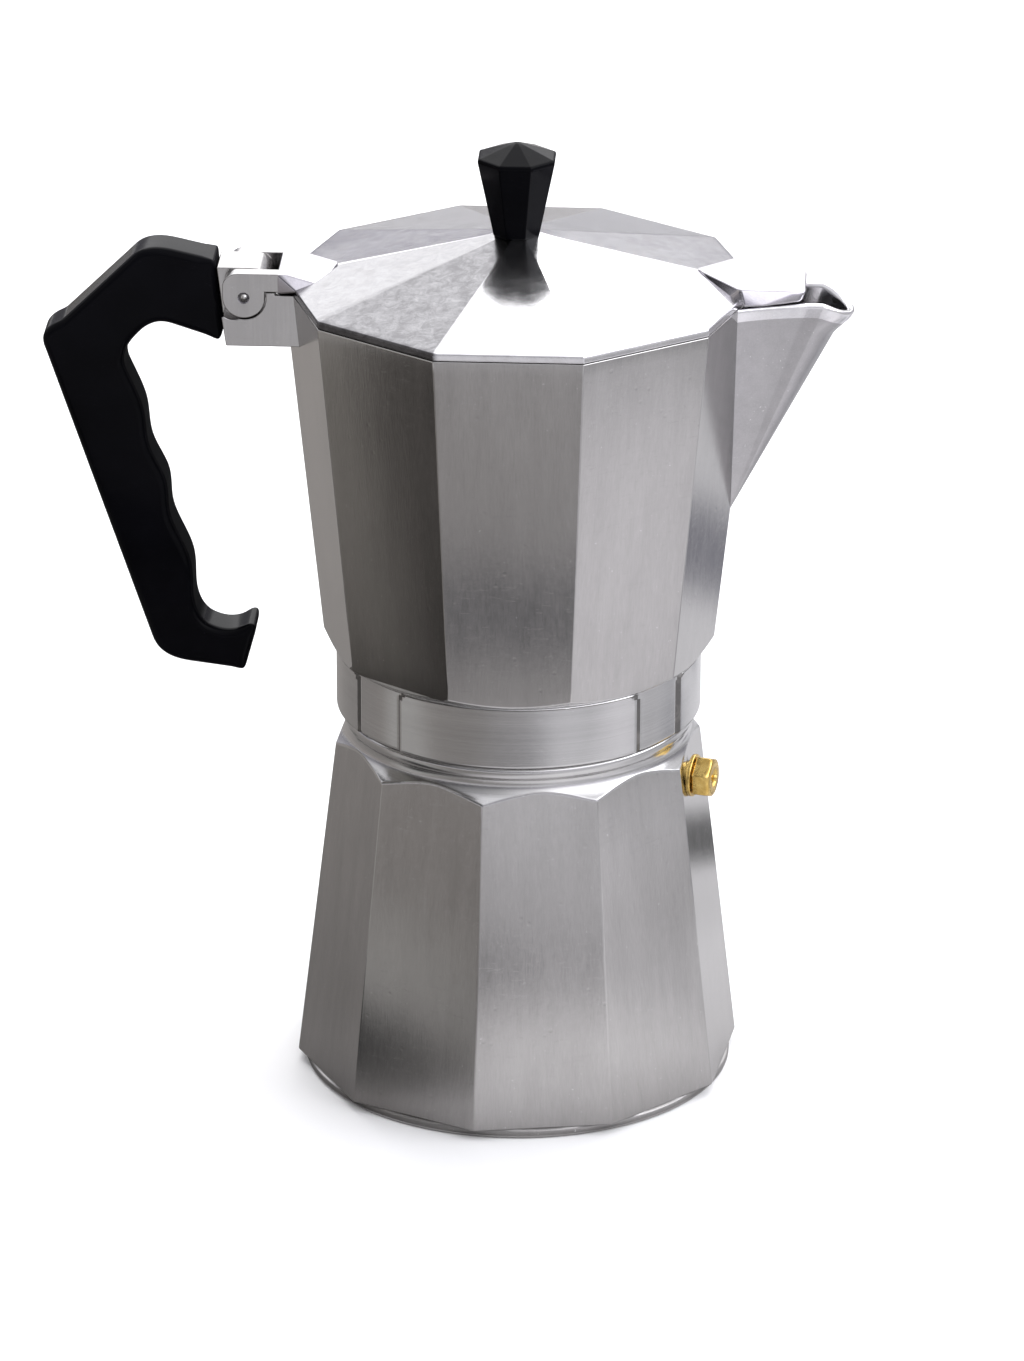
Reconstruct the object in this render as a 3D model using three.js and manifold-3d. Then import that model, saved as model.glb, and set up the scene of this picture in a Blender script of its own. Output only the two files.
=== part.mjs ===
// Stovetop moka pot: boiler, funnel, gasket, filter plate, upper pot, hinged lid, handle and safety valve.
// Millimetres, Z up. Z = 0 is the boiler's flat bottom, the spout points along +X and the handle along -X.
// Parts are drawn with Z = 0 at the lower edge of the boiler's ten sides, and add() lifts them by FOOT.high.
import * as THREE from 'three';
import { ConvexGeometry } from 'three/addons/geometries/ConvexGeometry.js';
import { mergeVertices } from 'three/addons/utils/BufferGeometryUtils.js';
import Module from 'manifold-3d';

const wasm = await Module();
wasm.setup();

// Driving dimensions. A decagon's radius is measured to its corners.
const SIDES = 10;
const ROUND = 60; // segments of a large turned surface
const MIDDLE = 40; // of an inner one
const SMALL = 24; // of a small one
const GAP = 0.3;

const BOILER = { turn: 9.7, lowR: 66.5, lowZ: 2.4, highR: 54.8, highZ: 100.3 };
const FOOT = { r: 64.2, high: 3 };
const NECK = { outerR: 48, innerR: 41, topZ: 121 };
const THREAD = { pitch: 3, turns: 2, wireR: 1.1, maleR: 47.7, femaleR: 50.25, steps: 40 };
const COLLAR = { r: 53.5, innerR: 50.2, lowZ: 111.3, highZ: 130.1, padR: 54.2 };
const POT = { lowR: 58.1, lowZ: 133.2, rimR: 69.3, rimZ: 241.4, wall: 2.9, floorZ: 131 };
const SEAL = { r: 46.6, roofZ: 127.4 };
const LID = { r: 69.3, lowZ: 241.8, edgeZ: 243.9, topR: 8, topZ: 257.5, wall: 2.7 };
const PIN = { x: -79.8, z: 240.5, r: 1.5 };
const HINGE = { open: 95, halfTang: 7.35, inEar: 7.65, halfWidth: 12.2, earR: 6.2, tangR: 8.55, topZ: 248 };
const KNOB = { x: -1, lowR: 7.2, lowZ: 257.8, rimR: 12, rimZ: 280.2, bandZ: 281.5, apexZ: 285.7 };
const HANDLE = { half: 7.4, bevel: 0.6 };
const VALVE = { azimuth: 344, z: 94.5, faceR: 54.1 };
const COLUMN = { baseZ: 131.3, topZ: 207, lowR: 9.6, highR: 7, wall: 1.6 };

// Helpers
const rad = THREE.MathUtils.degToRad;
const v2 = (pairs) => pairs.map(([x, y]) => new THREE.Vector2(x, y));

// A geometry as a manifold-3d solid that faces out.
function solid(geometry) {
  const g = geometry.clone();
  g.deleteAttribute('normal');
  g.deleteAttribute('uv');
  const merged = mergeVertices(g, 1e-4);
  const triVerts = new Uint32Array(merged.index.array);
  const vertProperties = new Float32Array(merged.attributes.position.array);
  const made = new wasm.Manifold(new wasm.Mesh({ numProp: 3, vertProperties, triVerts }));
  if (made.volume() > 0) return made;
  for (let i = 0; i < triVerts.length; i += 3) {
    [triVerts[i + 1], triVerts[i + 2]] = [triVerts[i + 2], triVerts[i + 1]];
  }
  return new wasm.Manifold(new wasm.Mesh({ numProp: 3, vertProperties, triVerts }));
}

const join = (first, ...rest) => rest.reduce((all, one) => all.add(one), first);
const cut = (first, ...rest) => rest.reduce((all, one) => all.subtract(one), first);

// Profile points are [radius, z], going round the section once.
function turned(profile, segments = ROUND) {
  const g = new THREE.LatheGeometry(v2([...profile, profile[0]]), segments);
  return solid(g.rotateX(Math.PI / 2));
}

// A cone or prism with flat sides. Its first corner stands at the angle `turn`.
function faceted(sides, lowR, highR, lowZ, highZ, turn = 0) {
  const g = new THREE.CylinderGeometry(highR, lowR, highZ - lowZ, sides, 1);
  g.rotateX(Math.PI / 2).rotateZ(rad(turn + 90)).translate(0, 0, (lowZ + highZ) / 2);
  return solid(g);
}

const rod = (r, lowZ, highZ, segments = SMALL) => faceted(segments, r, r, lowZ, highZ);
const hull = (points) => solid(new ConvexGeometry(points.map((p) => new THREE.Vector3(...p))));
const both = (points) => [...points, ...points.map(([x, y, z]) => [x, -y, z])];

function block([x0, y0, z0], [x1, y1, z1]) {
  const g = new THREE.BoxGeometry(x1 - x0, y1 - y0, z1 - z0);
  return solid(g.translate((x0 + x1) / 2, (y0 + y1) / 2, (z0 + z1) / 2));
}

// A shape drawn in x and z, extruded from y0 to y1.
function slab(shape, y0, y1, bevel = 0) {
  const g = new THREE.ExtrudeGeometry(shape, {
    depth: y1 - y0 - 2 * bevel, curveSegments: 6, bevelEnabled: bevel > 0, bevelThickness: bevel,
    bevelSize: bevel, bevelOffset: -bevel, bevelSegments: 1,
  });
  return solid(g.translate(0, 0, bevel).rotateX(Math.PI / 2).translate(0, y1, 0));
}

const plate = (pairs, y0, y1) => slab(new THREE.Shape(v2(pairs)), y0, y1);
const rodAlongY = (x, z, r, y0, y1, segments = SMALL) =>
  rod(r, y0, y1, segments).rotate([-90, 0, 0]).translate([x, 0, z]);

class Helix extends THREE.Curve {
  constructor(r, lowZ, pitch, turns) {
    super();
    Object.assign(this, { r, lowZ, pitch, turns });
  }
  getPoint(t, target = new THREE.Vector3()) {
    const a = t * this.turns * 2 * Math.PI;
    return target.set(this.r * Math.cos(a), this.r * Math.sin(a), this.lowZ + t * this.turns * this.pitch);
  }
}

function coil(helix, wireR, stepsPerTurn, sides = 6) {
  const section = new THREE.Shape(v2(Array.from({ length: sides }, (_, i) => {
    const a = (2 * Math.PI * i) / sides;
    return [wireR * Math.cos(a), wireR * Math.sin(a)];
  })));
  const steps = Math.round(helix.turns * stepsPerTurn);
  return solid(new THREE.ExtrudeGeometry(section, { steps, bevelEnabled: false, extrudePath: helix }));
}

// Rings of small round holes through a disc.
function perforate(disc, rings, holeR, lowZ, highZ) {
  let out = disc;
  for (const [count, ringR] of rings) {
    for (let i = 0; i < count; i++) {
      const a = (2 * Math.PI * i) / count;
      out = out.subtract(rod(holeR, lowZ, highZ, 6).translate([ringR * Math.cos(a), ringR * Math.sin(a), 0]));
    }
  }
  return out;
}

const group = new THREE.Group();
group.name = 'moka_pot';

function add(name, made, [color, roughness, metalness]) {
  const { vertProperties, triVerts } = made.translate([0, 0, FOOT.high]).getMesh();
  const g = new THREE.BufferGeometry();
  g.setAttribute('position', new THREE.BufferAttribute(vertProperties, 3));
  g.setIndex(new THREE.BufferAttribute(triVerts, 1));
  const flat = g.toNonIndexed();
  flat.computeVertexNormals();
  const mesh = new THREE.Mesh(flat, new THREE.MeshStandardMaterial({ color, roughness, metalness }));
  mesh.name = name;
  group.add(mesh);
}

const ALUMINIUM = ['#b9b4ae', 0.32, 1];
const PRESSED = ['#c4c2be', 0.4, 1];
const BRASS = ['#a98a4b', 0.35, 1];
const STEEL = ['#b4b6ba', 0.3, 1];
const BLACK = ['#0d0d0f', 0.22, 0];
const SEALING = ['#ded9cc', 0.6, 0];

// Boiler
const alongValve = (part) => part.rotate([0, 90, VALVE.azimuth]).translate([0, 0, VALVE.z]);

function boiler() {
  const slope = (BOILER.highR - BOILER.lowR) / (BOILER.highZ - BOILER.lowZ);
  const cornerR = (z) => BOILER.lowR + slope * (z - BOILER.lowZ);
  const sides = faceted(SIDES, cornerR(0), cornerR(106), 0, 106, BOILER.turn);
  const limit = turned([[0, -1], [68, -1], [68, 70], [60, 97.2], [54.8, 100.2], [52.1, 101.8], [51.4, 103],
    [51.2, 104.6], [51.2, 106], [0, 106]]);
  const foot = turned([[0, -FOOT.high], [FOOT.r - 0.5, -FOOT.high], [FOOT.r, 0.5 - FOOT.high], [FOOT.r, -0.4],
    [FOOT.r - 1.2, 0.6], [0, 0.6]]);
  const neck = turned([[0, 100], [51.2, 100], [51.2, 107], [52.2, 107.8], [52.4, 109.2], [52.1, 110.5],
    [50.6, 110.9], [NECK.outerR, 110.9], [NECK.outerR, 120.2], [47.2, NECK.topZ], [0, NECK.topZ]]);
  const thread = coil(new Helix(THREAD.maleR, 113, THREAD.pitch, THREAD.turns), THREAD.wireR, THREAD.steps);
  const inside = turned([[0, 1.5], [56, 1.5], [59.3, 4], [48.6, 96.5], [NECK.innerR, 103],
    [NECK.innerR, 130], [0, 130]]);
  const boss = alongValve(rod(7.4, 50, VALVE.faceR));
  const hole = alongValve(rod(4.2, 40, 60));
  return cut(join(sides.intersect(limit), foot, neck, thread, boss), inside, hole);
}

// Safety valve, drawn along its own axis; its numbers are distances from the pot's axis.
function valve() {
  const shank = turned([[1.6, 46.6], [3.9, 46.6], [3.9, 56.2], [5.2, 56.2], [5.2, 61.4], [1.25, 61.4],
    [1.25, 58.9], [2.9, 58.9], [2.9, 47.6], [1.6, 47.6]], SMALL);
  const hex = cut(faceted(6, 6.35, 6.35, 55.9, 61.4, 8).intersect(turned([[0, 55.9], [6.4, 55.9],
    [6.4, 60.6], [5.4, 61.4], [0, 61.4]], SMALL)), rod(3.4, 55, 62));
  add('valve_body', alongValve(join(shank, hex)), BRASS);
  add('valve_washer', alongValve(turned([[4.2, 54.4], [6.3, 54.4], [6.3, 55.6], [4.2, 55.6]], SMALL)), BRASS);
  add('valve_stem', alongValve(turned([[0, 47.9], [2.5, 47.9], [2.5, 49.2], [0.9, 49.2], [0.9, 62.2],
    [0, 62.2]], 20)), BRASS);
  add('valve_spring', alongValve(coil(new Helix(2.1, 51.3, 1.7, 4), 0.3, 14, 6)), STEEL);
}

// Funnel with its cup, tube and pressed-in screen
function funnel() {
  add('funnel_cup', turned([[40.5, 84], [40.5, 121.3], [46, 121.3], [46, 122.3], [39.5, 122.3], [39.5, 84.4],
    [30, 77.1], [9, 71], [9, 62], [10, 62], [10, 70.2], [30.6, 76.2]], MIDDLE), PRESSED);
  add('funnel_tube', turned([[7.6, 9], [8.7, 9], [8.7, 68], [7.6, 68]], SMALL), PRESSED);
  const screen = turned([[0, 84.8], [39.1, 84.8], [39.1, 85.8], [0, 85.8]], MIDDLE);
  add('funnel_screen', perforate(screen, [[6, 9], [12, 19], [15, 29]], 1.3, 80, 90), PRESSED);
}

// Gasket and filter plate, both held under the upper pot
function seals() {
  add('gasket', turned([[37, 122.6], [46.2, 122.6], [46.2, 125.9], [37, 125.9]], MIDDLE), SEALING);
  const disc = turned([[0, 126.2], [44.6, 126.2], [44.6, 127], [0, 127]], MIDDLE);
  add('filter_plate', perforate(disc, [[6, 8], [12, 17], [15, 27]], 1.2, 120, 130), PRESSED);
}

// The hinge's two ears on the lid, as an outline about the pin
function earOutline(grow = 0) {
  const r = HINGE.earR + grow;
  const top = HINGE.topZ - PIN.z + grow;
  const s = new THREE.Shape();
  s.absarc(0, 0, r, Math.PI, 2 * Math.PI, false);
  s.lineTo(r, 1.9 - grow);
  s.lineTo(10.2 + grow, 1.9 - grow);
  s.lineTo(10.2 + grow, top);
  s.lineTo(-2.2, top);
  s.quadraticCurveTo(-r, top, -r, top - 4.4);
  s.closePath();
  return s;
}

const ear = (grow, y0, y1) => slab(earOutline(grow), y0, y1);
const atPin = (part, open = 0) => part.rotate([0, -open, 0]).translate([PIN.x, 0, PIN.z]);

// Outer and inner form of the pouring spout
function spout(inset) {
  const top = inset ? 246 : POT.rimZ;
  const ring = (x, z, rx, ry) => Array.from({ length: 13 }, (_, i) => {
    const a = rad(-90 + 15 * i);
    return [x + (rx - inset) * Math.cos(a), (ry - inset) * Math.sin(a), z];
  });
  const droop = ([x, y, z]) => [x, y, inset ? top : z - 0.085 * Math.max(0, x - 90) ** 2];
  const back = inset ? 55 : 62.4;
  const keel = inset ? [[back, 0, 176], [64, 0, 180]] : [[59.8, 0, 172.4], [61.6, 0, 172.5]];
  const sides = both([[back, 17 - inset, top], [64, 16.6 - inset, top]]);
  const neck = ring(82.9, 230.9, 9.3, 9.7);
  const body = hull([...keel, ...sides, ...neck, ...ring(84, top, 8, 11.4)]);
  const mouth = ring(86.6, top, 10.9, 11.3).map(droop);
  const lip = hull([...neck, ...ring(86.6, 235.2, 10.7, 10.8), ...mouth]);
  return join(body, lip);
}

// Upper pot with collar, spout and the fixed half of the hinge
function upperPot() {
  const slope = (POT.rimR - POT.lowR) / (POT.rimZ - POT.lowZ);
  const cornerR = (z) => POT.rimR - slope * (POT.rimZ - z);
  const sides = faceted(SIDES, cornerR(128), POT.rimR, 128, POT.rimZ).intersect(
    turned([[0, 129.5], [52.6, 129.5], [72, 142.6], [72, 245], [0, 245]]));
  const collar = turned([[0, COLLAR.lowZ], [52.9, COLLAR.lowZ], [COLLAR.r, 112], [COLLAR.r, COLLAR.highZ],
    [0, COLLAR.highZ + 1]]);
  const padRing = turned([[52, 112.4], [53.7, 112.4], [COLLAR.padR, 113], [COLLAR.padR, 128.8],
    [53.6, 129.4], [52, 129.4]]);
  const pads = [[232.4, 313.4], [333.4, 82.9], [102.9, 212.4]].map(([from, to]) => padRing.intersect(
    sector(from, to < from ? to + 360 : to, 60, 112, 130)));
  const cavity = faceted(SIDES, cornerR(129) - POT.wall, cornerR(250) - POT.wall, 129, 250).intersect(
    turned([[0, POT.floorZ], [49.5, POT.floorZ], [64, 140.8], [72, 160], [72, 250], [0, 250]]));
  const seat = turned([[0, 100], [COLLAR.innerR, 100], [COLLAR.innerR, 121.8], [SEAL.r, 121.8],
    [SEAL.r, SEAL.roofZ], [0, SEAL.roofZ]]);
  const thread = coil(new Helix(THREAD.femaleR, 114.5, THREAD.pitch, 1.5), THREAD.wireR, THREAD.steps);
  const columnHole = rod(8, 120, 140);
  const shell = cut(join(sides, collar, ...pads, spout(0), lug()), cavity, spout(2.4), seat, columnHole);
  return join(shell, thread);
}

// A wedge about the Z axis between two azimuths
function sector(from, to, r, lowZ, highZ) {
  const s = new THREE.Shape();
  s.moveTo(0, 0);
  s.absarc(0, 0, r, rad(from), rad(to), false);
  s.closePath();
  const g = new THREE.ExtrudeGeometry(s, { depth: highZ - lowZ, bevelEnabled: false, curveSegments: 24 });
  return solid(g.translate(0, 0, lowZ));
}

// The pot's hinge lug: a block under the ears, a tang between them and a tenon for the handle
function lug() {
  const low = plate([[-62, 225.7], [-85.1, 225.7], [-86.5, 236], [-86.5, 242.1], [-70.7, 242.1],
    [-70.7, POT.rimZ], [-62, POT.rimZ]], -HINGE.halfWidth, HINGE.halfWidth);
  let swept = atPin(ear(0.35, HINGE.halfTang, 14));
  for (let open = 8; open <= HINGE.open + 4; open += 7) {
    swept = swept.add(atPin(ear(0.35, HINGE.halfTang, 14), open));
  }
  const knuckle = rodAlongY(PIN.x, PIN.z, HINGE.tangR, -HINGE.halfTang, HINGE.halfTang);
  const behind = block([-95, -20, 220], [-82, 20, 260]);
  const tang = join(cut(knuckle, behind), plate([[-79.8, 232], [-86.3, 232], [-88, 248.2], [-79.8, 249.2]],
    -HINGE.halfTang, HINGE.halfTang));
  const tangTop = block([-95, -20, 248.2], [-60, 20, 260]);
  const screwHole = rod(1.9, 230, 241, 20).translate([-94, 0, 0]);
  const tenon = cut(block([-99, -3.5, 234], [-86, 3.5, 243.5]), screwHole);
  const pinHole = rodAlongY(PIN.x, PIN.z, PIN.r + GAP, -13, 13, 20);
  return cut(join(cut(low, swept, swept.mirror([0, 1, 0])), cut(tang, tangTop), tenon), pinHole);
}

// Coffee column pressed into the pot's floor, open near its closed top
function column() {
  const c = COLUMN;
  const tube = turned([[5.8, 127.7], [7.7, 127.7], [7.7, c.baseZ], [13, c.baseZ], [13, 132.4],
    [c.lowR, 134], [c.highR, c.topZ - 3], [3.5, c.topZ], [0, c.topZ], [0, c.topZ - c.wall],
    [3, c.topZ - c.wall], [c.highR - c.wall, c.topZ - 4], [c.lowR - c.wall, 140], [5.8, 132]], SMALL);
  return cut(tube, block([-20, -3, 193], [20, 3, 201]));
}

function handle() {
  const s = new THREE.Shape();
  s.moveTo(-88.6, 250.1);
  s.lineTo(-101, 252.9);
  s.quadraticCurveTo(-109.6, 254.8, -113.5, 250);
  s.lineTo(-134.1, 230);
  s.quadraticCurveTo(-141.6, 227.4, -138.7, 221.4);
  s.lineTo(-108.6, 131.2);
  s.quadraticCurveTo(-106.6, 125, -97.9, 123.8);
  s.lineTo(-81.4, 121.6);
  s.lineTo(-77.6, 134.4);
  s.quadraticCurveTo(-76.9, 137.9, -80.2, 136.2);
  s.quadraticCurveTo(-85.6, 132.4, -91.9, 136);
  s.quadraticCurveTo(-95.6, 138.6, -96.2, 145);
  s.splineThru(v2([[-97, 156.3], [-102.5, 169.7], [-103.8, 181], [-108.6, 192], [-110.3, 204],
    [-115.4, 216.5]]));
  s.quadraticCurveTo(-116.6, 221.6, -111.8, 226.4);
  s.quadraticCurveTo(-107.4, 231.6, -102.2, 230.2);
  s.lineTo(-87.4, 225.4);
  s.lineTo(-86.3, 228.8);
  s.closePath();
  const socket = block([-99.4, -3.8, 233.7], [-80, 3.8, 243.8]);
  const screwWay = rod(1.9, 220, 240, 20).translate([-94, 0, 0]);
  const counterbore = rod(3.9, 220, 230.6, 24).translate([-94, 0, 0]);
  return cut(slab(s, -HANDLE.half, HANDLE.half, HANDLE.bevel), socket, screwWay, counterbore);
}

function handleScrew() {
  const screw = turned([[0, 228], [3.1, 228], [3.5, 228.6], [3.5, 230.3], [1.5, 230.3], [1.5, 240.6],
    [0, 240.6]], 20);
  return cut(screw, block([-4, -0.4, 227], [4, 0.4, 229])).translate([-94, 0, 0]);
}

// Lid with its two hinge ears and the cover over the spout
function lid() {
  const slope = (LID.topZ - LID.edgeZ) / (LID.r - LID.topR);
  const crown = faceted(SIDES, LID.r, LID.topR, LID.edgeZ, LID.topZ);
  const edge = faceted(SIDES, LID.r, LID.r, LID.lowZ, LID.edgeZ);
  const innerR = LID.r - LID.wall;
  const under = faceted(SIDES, innerR + 4.5, 5, LID.lowZ - 1, LID.lowZ - 1 + slope * (innerR - 0.5));
  const half = HINGE.halfWidth;
  const tongue = hull(both([[PIN.x + 9.8, half, LID.lowZ], [PIN.x + 9.8, half, HINGE.topZ],
    [-67.9, half, HINGE.topZ], [-66.9, half, 244.4], [-64, 14.5, 242.8], [-52, 1, HINGE.topZ],
    [-56, 12, 244], [-60, 12, LID.lowZ]]));
  const cover = cut(hull(both([[51, 0, 248.3], [64.3, 15.4, 247.3], [82.8, 9, 244.9], [83.6, 7.6, 244.8],
    [60, 12, 243], [66, 16.2, 242.7], [71.3, 15, 242.5], [83.6, 9.6, 242.4], [84.2, 8.4, 242.4]])),
  hull(both([[79, 0, 240], [79, 0, 250], [90, 11, 240], [90, 11, 250]])));
  const ears = join(ear(0, HINGE.inEar, half), ear(0, -half, -HINGE.inEar));
  const tangRoom = rodAlongY(PIN.x, PIN.z, HINGE.tangR + 0.6, -HINGE.inEar, HINGE.inEar);
  const made = cut(join(crown, edge, tongue, cover), under, tangRoom);
  const pinHole = rodAlongY(PIN.x, PIN.z, PIN.r + GAP, -13, 13, 20);
  const screwHole = rod(2.3, 240, 270, 24).translate([KNOB.x, 0, 0]);
  return cut(join(made, atPin(ears)), pinHole, screwHole);
}

function knob() {
  const k = KNOB;
  const body = join(faceted(8, k.lowR, k.rimR, k.lowZ, k.rimZ, 22.5),
    faceted(8, k.rimR, k.rimR, k.rimZ, k.bandZ, 22.5), faceted(8, k.rimR, 1.5, k.bandZ, k.apexZ, 22.5));
  return cut(body, rod(2.3, 250, 273, 24)).translate([k.x, 0, 0]);
}

const shifted = (profile) => turned(profile, 28).translate([KNOB.x, 0, 0]);

add('boiler', boiler(), ALUMINIUM);
valve();
funnel();
seals();
add('upper_pot', upperPot(), ALUMINIUM);
add('column', column(), ALUMINIUM);
add('handle', handle(), BLACK);
add('handle_screw', handleScrew(), STEEL);
add('hinge_pin', rodAlongY(PIN.x, PIN.z, PIN.r, -11.9, 11.9, 20), STEEL);
add('lid', lid(), ALUMINIUM);
add('knob', knob(), BLACK);
add('knob_washer', shifted([[2.3, 253.2], [5.2, 253.2], [5.2, 254], [2.3, 254]]), STEEL);
add('knob_screw', shifted([[0, 250.4], [3.6, 250.4], [4, 251], [4, 252.9], [2, 252.9], [2, 272],
  [0, 272]]), STEEL);

export default group;
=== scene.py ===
"""Looks of the moka pot, built round the fixed CAD frame. Lengths in the shape code are millimetres."""
import math

import bmesh
import bpy
import numpy as np
from mathutils import Matrix, Vector

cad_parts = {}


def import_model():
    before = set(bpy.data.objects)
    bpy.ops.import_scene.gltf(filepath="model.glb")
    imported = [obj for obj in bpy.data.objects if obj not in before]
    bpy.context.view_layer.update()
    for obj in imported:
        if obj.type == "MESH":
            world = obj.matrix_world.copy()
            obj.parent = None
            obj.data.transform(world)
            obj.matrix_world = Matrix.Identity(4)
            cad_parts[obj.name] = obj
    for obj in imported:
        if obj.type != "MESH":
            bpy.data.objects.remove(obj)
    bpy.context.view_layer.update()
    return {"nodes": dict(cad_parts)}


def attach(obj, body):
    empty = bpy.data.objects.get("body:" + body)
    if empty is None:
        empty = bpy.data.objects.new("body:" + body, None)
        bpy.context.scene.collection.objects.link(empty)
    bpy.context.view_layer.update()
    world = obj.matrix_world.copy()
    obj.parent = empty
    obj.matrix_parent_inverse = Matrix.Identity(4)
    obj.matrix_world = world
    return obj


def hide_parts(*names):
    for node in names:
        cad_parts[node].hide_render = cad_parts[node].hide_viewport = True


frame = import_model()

PI = math.pi
SIDES = 10
FACET = 360 / SIDES  # the turn from one flat side to the next, in degrees
LIFT = 3  # the foot's height: shapes are drawn with Z = 0 at the lower edge of the boiler's ten sides


# ---------------------------------------------------------------- mesh helpers
def grid(rows, wrap=True, loop=False, cap_first=False, cap_last=False):
    """Rows of points of equal length joined by quads. loop joins the last row to the first."""
    rows = [np.asarray(r, float) for r in rows]
    n, c = len(rows), len(rows[0])
    verts = np.concatenate(rows)
    faces = []
    for i in range(n if loop else n - 1):
        j = (i + 1) % n
        for k in range(c if wrap else c - 1):
            m = (k + 1) % c
            faces.append((i * c + k, i * c + m, j * c + m, j * c + k))
    if cap_first:
        faces.append(tuple(range(c - 1, -1, -1)))
    if cap_last:
        faces.append(tuple((n - 1) * c + k for k in range(c)))
    return verts, faces


def bands(faces, columns, starts):
    """A material index for each face of a grid: starts is ((first row, index), ...) in order."""
    out = []
    for q in faces:
        low, high = min(q) // columns, max(q) // columns
        row = high if high - low > 1 else low
        out.append([w for at, w in starts if at <= row][-1])
    return out


def outward(patch):
    """The patch with its faces turned to point out of the volume that they close."""
    v, f = patch
    total = 0.0
    for q in f:
        for i in range(1, len(q) - 1):
            total += np.dot(v[q[0]], np.cross(v[q[i]], v[q[i + 1]]))
    return (v, [tuple(reversed(q)) for q in f]) if total < 0 else (v, f)


def placed(patch, matrix=None, shift=(0, 0, 0)):
    """The patch turned by the matrix, then moved."""
    v, f = patch
    v = v if matrix is None else v @ np.asarray(matrix).T
    return v + np.asarray(shift, float), f


def mirrored(patch):
    """The patch on the other side of the plane y = 0."""
    v, f = patch
    return v * [1, -1, 1], [tuple(reversed(q)) for q in f]


def lathe(profile, n):
    """The rows of a turned surface, one for each r, z point."""
    a = np.arange(n) * 2 * PI / n
    return [np.stack([r * np.cos(a), r * np.sin(a), np.full(n, z)], 1) for r, z in profile]


def turned(profile, n, radius):
    """A closed ring or disc with every corner rounded, n points round."""
    pts = rounded([np.array(p, float) for p in profile], radius)
    return outward(grid(lathe([(max(p[0], 0.001), p[1]) for p in pts], n), loop=True))


def rounded(pts, radius, steps=3):
    """A closed polyline with its corners replaced by short curves, apart from the corners on the axis."""
    out, n = [], len(pts)
    for i in range(n):
        p, a, b = pts[i], pts[i - 1], pts[(i + 1) % n]
        if abs(p[0]) < 0.01:
            out.append(p)
            continue
        ra, rb = (min(radius, np.linalg.norm(q - p) * 0.45) for q in (a, b))
        s, e = p + (a - p) / np.linalg.norm(a - p) * ra, p + (b - p) / np.linalg.norm(b - p) * rb
        for j in range(steps + 1):
            t = j / steps
            out.append(s * (1 - t) ** 2 + p * 2 * t * (1 - t) + e * t * t)
    return out


def hull(points, bevel, segments=3):
    """The convex hull of the points, with softened edges."""
    bm = bmesh.new()
    for p in points:
        bm.verts.new(p)
    bmesh.ops.convex_hull(bm, input=bm.verts)
    return soften(bm, bevel, segments)


def soften(bm, bevel, segments=3):
    """The bmesh as a patch, its flat faces joined and its edges bevelled."""
    bmesh.ops.delete(bm, geom=[v for v in bm.verts if not v.link_faces], context="VERTS")
    bmesh.ops.dissolve_limit(bm, angle_limit=0.02, verts=bm.verts, edges=bm.edges)
    bmesh.ops.recalc_face_normals(bm, faces=bm.faces)
    if bevel:
        sharp = [e for e in bm.edges if len(e.link_faces) == 2 and e.calc_face_angle(0) > 0.3]
        bmesh.ops.bevel(bm, geom=sharp, offset=bevel, offset_type="OFFSET", segments=segments, profile=0.5,
                        affect="EDGES", clamp_overlap=True)
    bm.verts.index_update()
    v = np.array([list(x.co) for x in bm.verts])
    f = [tuple(x.index for x in face.verts) for face in bm.faces]
    bm.free()
    return v, f


def slab(outline, y0, y1, bevel):
    """A closed x, z outline extruded from y0 to y1, with softened edges."""
    bm = bmesh.new()
    face = bm.faces.new([bm.verts.new((x, y0, z)) for x, z in outline])
    more = bmesh.ops.extrude_face_region(bm, geom=[face])["geom"]
    bmesh.ops.translate(bm, vec=(0, y1 - y0, 0), verts=[g for g in more if isinstance(g, bmesh.types.BMVert)])
    return soften(bm, bevel)


def arc(x, z, r, start, end, n):
    """Points on a circle from start to end, in degrees."""
    return [(x + r * math.cos(math.radians(start + (end - start) * i / n)),
             z + r * math.sin(math.radians(start + (end - start) * i / n))) for i in range(n + 1)]


def build(name, patches, materials, body, nodes=(), cuts=()):
    """One object from several patches; each patch is (verts, faces) or (verts, faces, material index)."""
    verts, faces, which, at = [], [], [], 0
    for p in patches:
        v, f = p[0], p[1]
        verts.append(v)
        faces += [tuple(i + at for i in q) for q in f]
        m = p[2] if len(p) > 2 else 0
        which += m if isinstance(m, list) else [m] * len(f)
        at += len(v)
    mesh = bpy.data.meshes.new(name)
    mesh.from_pydata(((np.concatenate(verts) + [0, 0, LIFT]) / 1000).tolist(), [], faces)
    mesh.polygons.foreach_set("material_index", which)
    mesh.polygons.foreach_set("use_smooth", [True] * len(faces))
    for m in materials:
        mesh.materials.append(m)
    mesh.update()
    o = bpy.data.objects.new(name, mesh)
    bpy.context.scene.collection.objects.link(o)
    for patch in cuts:
        carve(o, patch)
    w = o.modifiers.new("face weight", "WEIGHTED_NORMAL")
    w.keep_sharp = False
    w.weight = 80
    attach(o, body)
    if nodes:
        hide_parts(*nodes)
    return o


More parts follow.
